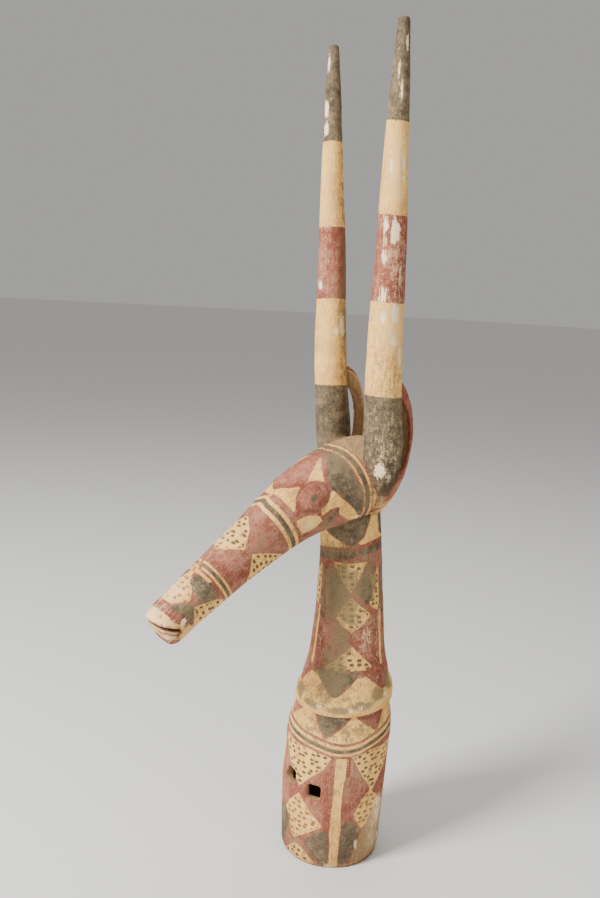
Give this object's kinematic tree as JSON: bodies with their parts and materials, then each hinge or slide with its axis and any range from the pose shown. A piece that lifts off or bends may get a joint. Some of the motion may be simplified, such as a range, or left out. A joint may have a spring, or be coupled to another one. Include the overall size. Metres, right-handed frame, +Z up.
{
  "type": "kurumba headdress mask",
  "caption": "Carved wooden antelope crest: long-snouted painted head with tall tapering horns and looped ears, on a neck, a rolled collar and a hollow base lashed to a cap.",
  "frame": {"origin": "centre of the bounding box, at the foot of the base", "axes": "+Z up, the snout points along -Y and the animal's left side is +X"},
  "size_m": [0.1512, 0.3606, 1.057],
  "materials": {
    "carved_wood": "matt earth pigments on carved wood, worn"
  },
  "bodies": {
    "root": {"carved_crest": "carved_wood"}
  },
  "joints": []
}
